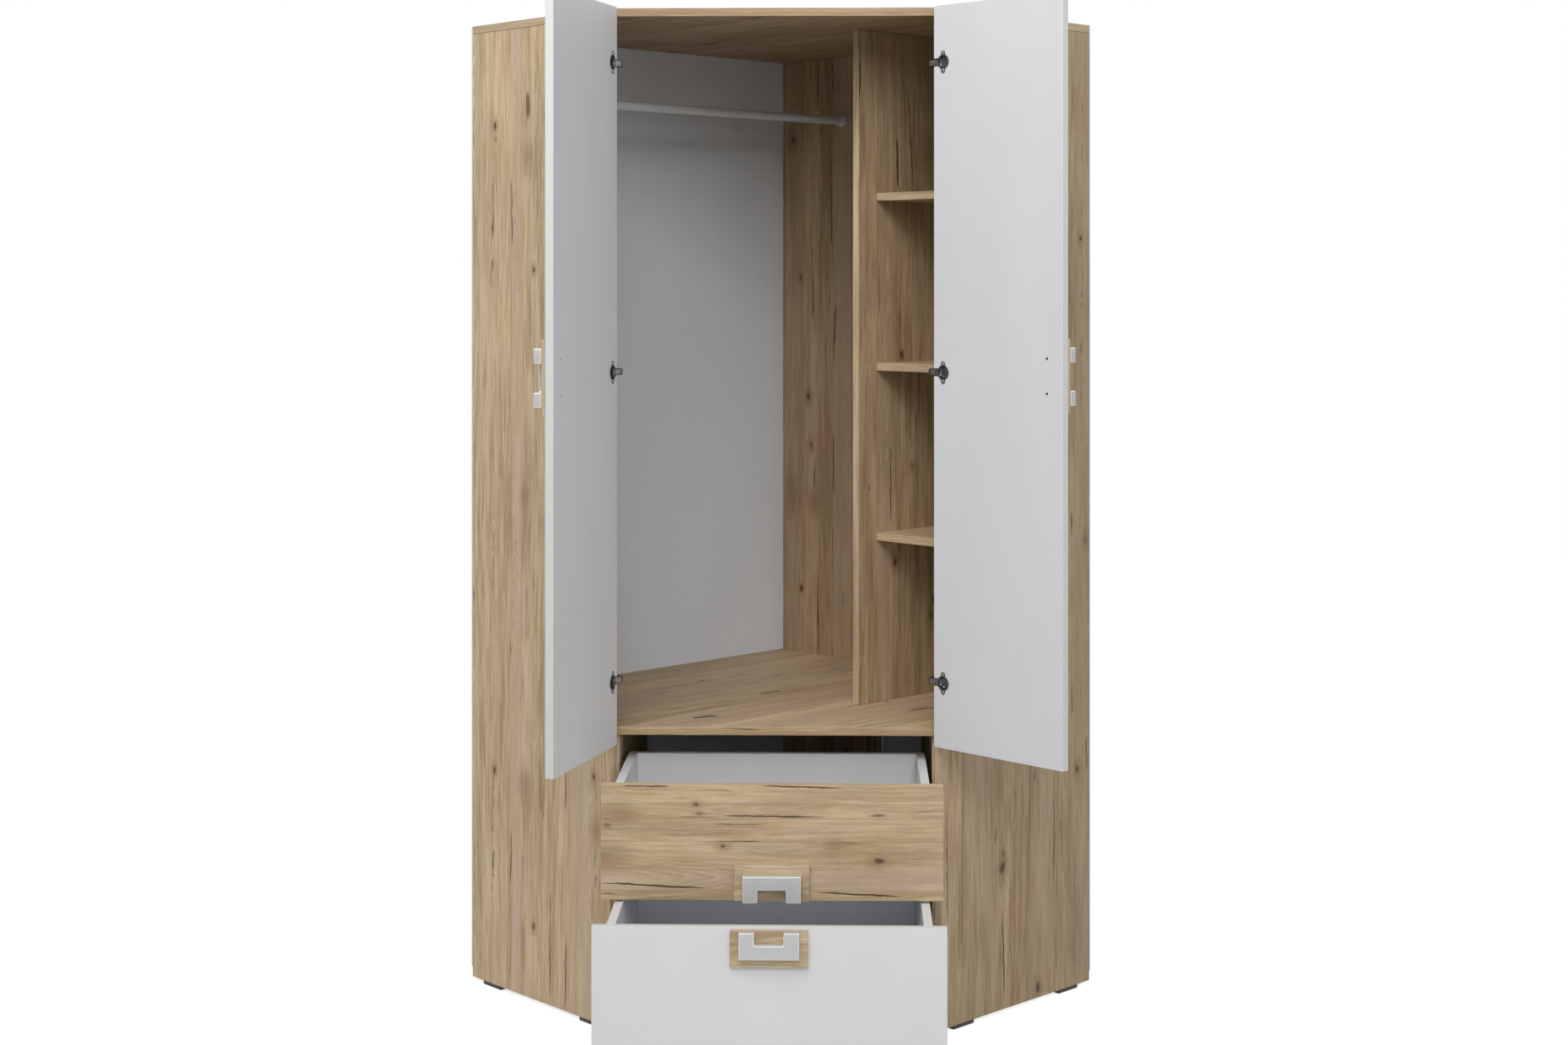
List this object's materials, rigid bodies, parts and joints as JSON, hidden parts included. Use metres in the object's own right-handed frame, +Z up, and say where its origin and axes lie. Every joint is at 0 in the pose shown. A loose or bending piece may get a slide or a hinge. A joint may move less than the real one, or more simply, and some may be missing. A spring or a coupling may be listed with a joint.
{
  "type": "wardrobe",
  "caption": "Corner wardrobe with angled side panels, hinged doors above sliding drawers, a hanging rod, a divider and open shelves inside.",
  "frame": {"origin": "on the floor, in the middle of the whole object's box with the doors open and the drawers out; the middle of the front, between the front corners, is at x = 0, y = -0.2928", "axes": "+X to the right as seen from the front, +Y to the rear corner, +Z up; the two rear walls stand at 45 degrees to X and Y"},
  "size_m": [1.2728, 1.3258, 1.9656],
  "materials": {
    "pale_oak": "melamine-faced board printed as pale knotty oak, satin, lighter edge banding",
    "white_laminate": "melamine-faced board, satin white",
    "grey_hardboard": "thin hardboard, painted grey",
    "beech": "bare wood, planed",
    "white_plastic": "white moulded plastic",
    "satin_grey": "satin silver-grey",
    "black_plastic": "black moulded plastic",
    "nickel": "nickel-plated pressed steel",
    "grey_steel_tube": "satin grey steel tube"
  },
  "bodies": {
    "carcass": {"back_joint_strip": "white_plastic", "bottom_board": "pale_oak", "divider_panel": "pale_oak", "floor_board": "pale_oak", "hanging_rod": "grey_steel_tube", "left_back_panel": "grey_hardboard", "left_bay_panel": "pale_oak", "left_door_lower_hinge_arm": "nickel", "left_door_middle_hinge_arm": "nickel", "left_door_upper_hinge_arm": "nickel", "left_front_glide": "black_plastic", "left_rear_glide": "black_plastic", "left_rod_socket": "white_plastic", "left_side_panel": "pale_oak", "lower_left_batten": "beech", "lower_right_batten": "beech", "lower_shelf": "pale_oak", "middle_shelf": "pale_oak", "plinth_board": "pale_oak", "rear_board_glide": "black_plastic", "rear_rod_socket": "white_plastic", "rear_wall_board": "pale_oak", "right_back_panel": "grey_hardboard", "right_bay_panel": "pale_oak", "right_door_lower_hinge_arm": "nickel", "right_door_middle_hinge_arm": "nickel", "right_door_upper_hinge_arm": "nickel", "right_front_glide": "black_plastic", "right_rear_glide": "black_plastic", "right_side_panel": "pale_oak", "top_board": "pale_oak", "upper_left_batten": "beech", "upper_right_batten": "beech", "upper_shelf": "pale_oak"},
    "left_door": {"left_door": "white_laminate", "left_door_grip": "satin_grey", "left_door_handle_plate": "pale_oak", "left_door_lower_hinge_cup": "nickel", "left_door_middle_hinge_cup": "nickel", "left_door_upper_hinge_cup": "nickel"},
    "right_door": {"right_door": "white_laminate", "right_door_grip": "satin_grey", "right_door_handle_plate": "pale_oak", "right_door_lower_hinge_cup": "nickel", "right_door_middle_hinge_cup": "nickel", "right_door_upper_hinge_cup": "nickel"},
    "upper_drawer": {"upper_drawer_back": "white_laminate", "upper_drawer_bottom": "grey_hardboard", "upper_drawer_front": "pale_oak", "upper_drawer_grip": "satin_grey", "upper_drawer_handle_plate": "pale_oak", "upper_drawer_left_side": "white_laminate", "upper_drawer_right_side": "white_laminate"},
    "lower_drawer": {"lower_drawer_back": "white_laminate", "lower_drawer_bottom": "grey_hardboard", "lower_drawer_front": "white_laminate", "lower_drawer_grip": "satin_grey", "lower_drawer_handle_plate": "pale_oak", "lower_drawer_left_side": "white_laminate", "lower_drawer_right_side": "white_laminate"}
  },
  "joints": [
    {"name": "left_door_hinge", "type": "hinge", "parent": "carcass", "child": "left_door", "pos_m": [-0.30997, -0.30081, 1.26705], "axis": [0, 0, -1], "range_deg": [-105.5, 34.5]},
    {"name": "right_door_hinge", "type": "hinge", "parent": "carcass", "child": "right_door", "pos_m": [0.30997, -0.30081, 1.26705], "axis": [0, 0, 1], "range_deg": [-136, 4]},
    {"name": "upper_drawer_slide", "type": "slide", "parent": "carcass", "child": "upper_drawer", "axis": [0, -1, 0], "range_m": [-0.1772, 0.0088]},
    {"name": "lower_drawer_slide", "type": "slide", "parent": "carcass", "child": "lower_drawer", "axis": [0, -1, 0], "range_m": [-0.3305, 0.0295]}
  ]
}
